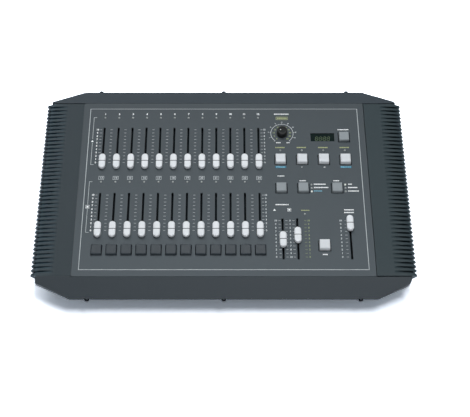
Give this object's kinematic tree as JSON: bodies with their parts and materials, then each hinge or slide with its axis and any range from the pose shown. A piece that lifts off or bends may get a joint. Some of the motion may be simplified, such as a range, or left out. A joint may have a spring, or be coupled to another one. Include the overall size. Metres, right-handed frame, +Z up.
{
  "type": "lighting control console",
  "caption": "Scene-preset lighting control console: tilted panel with slide faders, keys, a rotary knob and a digit window, in a moulded frame with ribbed end cheeks",
  "frame": {"origin": "centre of the bounding box's underside, on the plane that the feet stand on", "axes": "+X to the operator's right along the fader rows, +Y from the operator to the back, +Z up"},
  "size_m": [0.489, 0.319, 0.084],
  "materials": {
    "frame_plastic": "fine-textured satin grey",
    "panel_paint": "powder-coated matt grey with printed scales",
    "pan_paint": "textured dark grey paint",
    "cap_white": "satin off-white",
    "key_black": "satin black-grey",
    "key_grey": "satin mid grey",
    "knob_black": "satin black",
    "window_smoked": "smoked, polished",
    "board_dark": "dark laminate and moulded parts",
    "socket_metal": "nickel",
    "socket_plastic": "black"
  },
  "bodies": {
    "console": {"top_cover": "frame_plastic", "left_cheek": "frame_plastic", "right_cheek": "frame_plastic", "base_pan": "pan_paint", "control_panel": "panel_paint", "scene_a_board": "board_dark", "scene_b_board": "board_dark", "master_board": "board_dark", "display_window": "window_smoked", "data_socket": "socket_metal", "power_socket": "socket_plastic"},
    "fader_cap_a01": {"fader_cap_a01": "cap_white"},
    "fader_cap_a02": {"fader_cap_a02": "cap_white"},
    "fader_cap_a03": {"fader_cap_a03": "cap_white"},
    "fader_cap_a04": {"fader_cap_a04": "cap_white"},
    "fader_cap_a05": {"fader_cap_a05": "cap_white"},
    "fader_cap_a06": {"fader_cap_a06": "cap_white"},
    "fader_cap_a07": {"fader_cap_a07": "cap_white"},
    "fader_cap_a08": {"fader_cap_a08": "cap_white"},
    "fader_cap_a09": {"fader_cap_a09": "cap_white"},
    "fader_cap_a10": {"fader_cap_a10": "cap_white"},
    "fader_cap_a11": {"fader_cap_a11": "cap_white"},
    "fader_cap_a12": {"fader_cap_a12": "cap_white"},
    "fader_cap_b01": {"fader_cap_b01": "cap_white"},
    "fader_cap_b02": {"fader_cap_b02": "cap_white"},
    "fader_cap_b03": {"fader_cap_b03": "cap_white"},
    "fader_cap_b04": {"fader_cap_b04": "cap_white"},
    "fader_cap_b05": {"fader_cap_b05": "cap_white"},
    "fader_cap_b06": {"fader_cap_b06": "cap_white"},
    "fader_cap_b07": {"fader_cap_b07": "cap_white"},
    "fader_cap_b08": {"fader_cap_b08": "cap_white"},
    "fader_cap_b09": {"fader_cap_b09": "cap_white"},
    "fader_cap_b10": {"fader_cap_b10": "cap_white"},
    "fader_cap_b11": {"fader_cap_b11": "cap_white"},
    "fader_cap_b12": {"fader_cap_b12": "cap_white"},
    "preset_a_fader_cap": {"preset_a_fader_cap": "cap_white"},
    "preset_b_fader_cap": {"preset_b_fader_cap": "cap_white"},
    "grand_master_fader_cap": {"grand_master_fader_cap": "cap_white"},
    "bump_key_01": {"bump_key_01": "key_black"},
    "bump_key_02": {"bump_key_02": "key_black"},
    "bump_key_03": {"bump_key_03": "key_black"},
    "bump_key_04": {"bump_key_04": "key_black"},
    "bump_key_05": {"bump_key_05": "key_black"},
    "bump_key_06": {"bump_key_06": "key_black"},
    "bump_key_07": {"bump_key_07": "key_black"},
    "bump_key_08": {"bump_key_08": "key_black"},
    "bump_key_09": {"bump_key_09": "key_black"},
    "bump_key_10": {"bump_key_10": "key_black"},
    "bump_key_11": {"bump_key_11": "key_black"},
    "bump_key_12": {"bump_key_12": "key_black"},
    "effect_key_1": {"effect_key_1": "cap_white"},
    "effect_key_2": {"effect_key_2": "cap_white"},
    "effect_key_3": {"effect_key_3": "cap_white"},
    "effect_key_4": {"effect_key_4": "cap_white"},
    "go_key": {"go_key": "cap_white"},
    "blackout_key": {"blackout_key": "key_grey"},
    "hold_key": {"hold_key": "key_grey"},
    "mode_key": {"mode_key": "key_grey"},
    "flash_key": {"flash_key": "key_grey"},
    "fade_time_knob": {"fade_time_knob": "knob_black"}
  },
  "joints": [
    {"name": "fader_a01_slide", "type": "slide", "parent": "console", "child": "fader_cap_a01", "axis": [0, 0.9903, 0.1392], "range_m": [0, 0.053]},
    {"name": "fader_a02_slide", "type": "slide", "parent": "console", "child": "fader_cap_a02", "axis": [0, 0.9903, 0.1392], "range_m": [0, 0.053]},
    {"name": "fader_a03_slide", "type": "slide", "parent": "console", "child": "fader_cap_a03", "axis": [0, 0.9903, 0.1392], "range_m": [0, 0.053]},
    {"name": "fader_a04_slide", "type": "slide", "parent": "console", "child": "fader_cap_a04", "axis": [0, 0.9903, 0.1392], "range_m": [0, 0.053]},
    {"name": "fader_a05_slide", "type": "slide", "parent": "console", "child": "fader_cap_a05", "axis": [0, 0.9903, 0.1392], "range_m": [0, 0.053]},
    {"name": "fader_a06_slide", "type": "slide", "parent": "console", "child": "fader_cap_a06", "axis": [0, 0.9903, 0.1392], "range_m": [0, 0.053]},
    {"name": "fader_a07_slide", "type": "slide", "parent": "console", "child": "fader_cap_a07", "axis": [0, 0.9903, 0.1392], "range_m": [0, 0.053]},
    {"name": "fader_a08_slide", "type": "slide", "parent": "console", "child": "fader_cap_a08", "axis": [0, 0.9903, 0.1392], "range_m": [0, 0.053]},
    {"name": "fader_a09_slide", "type": "slide", "parent": "console", "child": "fader_cap_a09", "axis": [0, 0.9903, 0.1392], "range_m": [0, 0.053]},
    {"name": "fader_a10_slide", "type": "slide", "parent": "console", "child": "fader_cap_a10", "axis": [0, 0.9903, 0.1392], "range_m": [0, 0.053]},
    {"name": "fader_a11_slide", "type": "slide", "parent": "console", "child": "fader_cap_a11", "axis": [0, 0.9903, 0.1392], "range_m": [0, 0.053]},
    {"name": "fader_a12_slide", "type": "slide", "parent": "console", "child": "fader_cap_a12", "axis": [0, 0.9903, 0.1392], "range_m": [0, 0.053]},
    {"name": "fader_b01_slide", "type": "slide", "parent": "console", "child": "fader_cap_b01", "axis": [0, 0.9903, 0.1392], "range_m": [0, 0.053]},
    {"name": "fader_b02_slide", "type": "slide", "parent": "console", "child": "fader_cap_b02", "axis": [0, 0.9903, 0.1392], "range_m": [0, 0.053]},
    {"name": "fader_b03_slide", "type": "slide", "parent": "console", "child": "fader_cap_b03", "axis": [0, 0.9903, 0.1392], "range_m": [0, 0.053]},
    {"name": "fader_b04_slide", "type": "slide", "parent": "console", "child": "fader_cap_b04", "axis": [0, 0.9903, 0.1392], "range_m": [0, 0.053]},
    {"name": "fader_b05_slide", "type": "slide", "parent": "console", "child": "fader_cap_b05", "axis": [0, 0.9903, 0.1392], "range_m": [0, 0.053]},
    {"name": "fader_b06_slide", "type": "slide", "parent": "console", "child": "fader_cap_b06", "axis": [0, 0.9903, 0.1392], "range_m": [0, 0.053]},
    {"name": "fader_b07_slide", "type": "slide", "parent": "console", "child": "fader_cap_b07", "axis": [0, 0.9903, 0.1392], "range_m": [0, 0.053]},
    {"name": "fader_b08_slide", "type": "slide", "parent": "console", "child": "fader_cap_b08", "axis": [0, 0.9903, 0.1392], "range_m": [0, 0.053]},
    {"name": "fader_b09_slide", "type": "slide", "parent": "console", "child": "fader_cap_b09", "axis": [0, 0.9903, 0.1392], "range_m": [0, 0.053]},
    {"name": "fader_b10_slide", "type": "slide", "parent": "console", "child": "fader_cap_b10", "axis": [0, 0.9903, 0.1392], "range_m": [0, 0.053]},
    {"name": "fader_b11_slide", "type": "slide", "parent": "console", "child": "fader_cap_b11", "axis": [0, 0.9903, 0.1392], "range_m": [0, 0.053]},
    {"name": "fader_b12_slide", "type": "slide", "parent": "console", "child": "fader_cap_b12", "axis": [0, 0.9903, 0.1392], "range_m": [0, 0.053]},
    {"name": "preset_a_fader_slide", "type": "slide", "parent": "console", "child": "preset_a_fader_cap", "axis": [0, 0.9903, 0.1392], "range_m": [-0.02385, 0.02915]},
    {"name": "preset_b_fader_slide", "type": "slide", "parent": "console", "child": "preset_b_fader_cap", "axis": [0, 0.9903, 0.1392], "range_m": [-0.03021, 0.02279]},
    {"name": "grand_master_fader_slide", "type": "slide", "parent": "console", "child": "grand_master_fader_cap", "axis": [0, 0.9903, 0.1392], "range_m": [-0.0477, 0.0053]},
    {"name": "bump_key_01_press", "type": "slide", "parent": "console", "child": "bump_key_01", "axis": [0, 0.1392, -0.9903], "range_m": [0, 0.0025], "stiffness_N_per_m": 200},
    {"name": "bump_key_02_press", "type": "slide", "parent": "console", "child": "bump_key_02", "axis": [0, 0.1392, -0.9903], "range_m": [0, 0.0025], "stiffness_N_per_m": 200},
    {"name": "bump_key_03_press", "type": "slide", "parent": "console", "child": "bump_key_03", "axis": [0, 0.1392, -0.9903], "range_m": [0, 0.0025], "stiffness_N_per_m": 200},
    {"name": "bump_key_04_press", "type": "slide", "parent": "console", "child": "bump_key_04", "axis": [0, 0.1392, -0.9903], "range_m": [0, 0.0025], "stiffness_N_per_m": 200},
    {"name": "bump_key_05_press", "type": "slide", "parent": "console", "child": "bump_key_05", "axis": [0, 0.1392, -0.9903], "range_m": [0, 0.0025], "stiffness_N_per_m": 200},
    {"name": "bump_key_06_press", "type": "slide", "parent": "console", "child": "bump_key_06", "axis": [0, 0.1392, -0.9903], "range_m": [0, 0.0025], "stiffness_N_per_m": 200},
    {"name": "bump_key_07_press", "type": "slide", "parent": "console", "child": "bump_key_07", "axis": [0, 0.1392, -0.9903], "range_m": [0, 0.0025], "stiffness_N_per_m": 200},
    {"name": "bump_key_08_press", "type": "slide", "parent": "console", "child": "bump_key_08", "axis": [0, 0.1392, -0.9903], "range_m": [0, 0.0025], "stiffness_N_per_m": 200},
    {"name": "bump_key_09_press", "type": "slide", "parent": "console", "child": "bump_key_09", "axis": [0, 0.1392, -0.9903], "range_m": [0, 0.0025], "stiffness_N_per_m": 200},
    {"name": "bump_key_10_press", "type": "slide", "parent": "console", "child": "bump_key_10", "axis": [0, 0.1392, -0.9903], "range_m": [0, 0.0025], "stiffness_N_per_m": 200},
    {"name": "bump_key_11_press", "type": "slide", "parent": "console", "child": "bump_key_11", "axis": [0, 0.1392, -0.9903], "range_m": [0, 0.0025], "stiffness_N_per_m": 200},
    {"name": "bump_key_12_press", "type": "slide", "parent": "console", "child": "bump_key_12", "axis": [0, 0.1392, -0.9903], "range_m": [0, 0.0025], "stiffness_N_per_m": 200},
    {"name": "effect_key_1_press", "type": "slide", "parent": "console", "child": "effect_key_1", "axis": [0, 0.1392, -0.9903], "range_m": [0, 0.0025], "stiffness_N_per_m": 200},
    {"name": "effect_key_2_press", "type": "slide", "parent": "console", "child": "effect_key_2", "axis": [0, 0.1392, -0.9903], "range_m": [0, 0.0025], "stiffness_N_per_m": 200},
    {"name": "effect_key_3_press", "type": "slide", "parent": "console", "child": "effect_key_3", "axis": [0, 0.1392, -0.9903], "range_m": [0, 0.0025], "stiffness_N_per_m": 200},
    {"name": "effect_key_4_press", "type": "slide", "parent": "console", "child": "effect_key_4", "axis": [0, 0.1392, -0.9903], "range_m": [0, 0.0025], "stiffness_N_per_m": 200},
    {"name": "go_key_press", "type": "slide", "parent": "console", "child": "go_key", "axis": [0, 0.1392, -0.9903], "range_m": [0, 0.0025], "stiffness_N_per_m": 200},
    {"name": "blackout_key_press", "type": "slide", "parent": "console", "child": "blackout_key", "axis": [0, 0.1392, -0.9903], "range_m": [0, 0.0025], "stiffness_N_per_m": 200},
    {"name": "hold_key_press", "type": "slide", "parent": "console", "child": "hold_key", "axis": [0, 0.1392, -0.9903], "range_m": [0, 0.0025], "stiffness_N_per_m": 200},
    {"name": "mode_key_press", "type": "slide", "parent": "console", "child": "mode_key", "axis": [0, 0.1392, -0.9903], "range_m": [0, 0.0025], "stiffness_N_per_m": 200},
    {"name": "flash_key_press", "type": "slide", "parent": "console", "child": "flash_key", "axis": [0, 0.1392, -0.9903], "range_m": [0, 0.0025], "stiffness_N_per_m": 200},
    {"name": "fade_time_knob_turn", "type": "hinge", "parent": "console", "child": "fade_time_knob", "pos_m": [0.07913, 0.08264, 0.07412], "axis": [0, -0.1392, 0.9903], "range_deg": [-215, 65]}
  ]
}
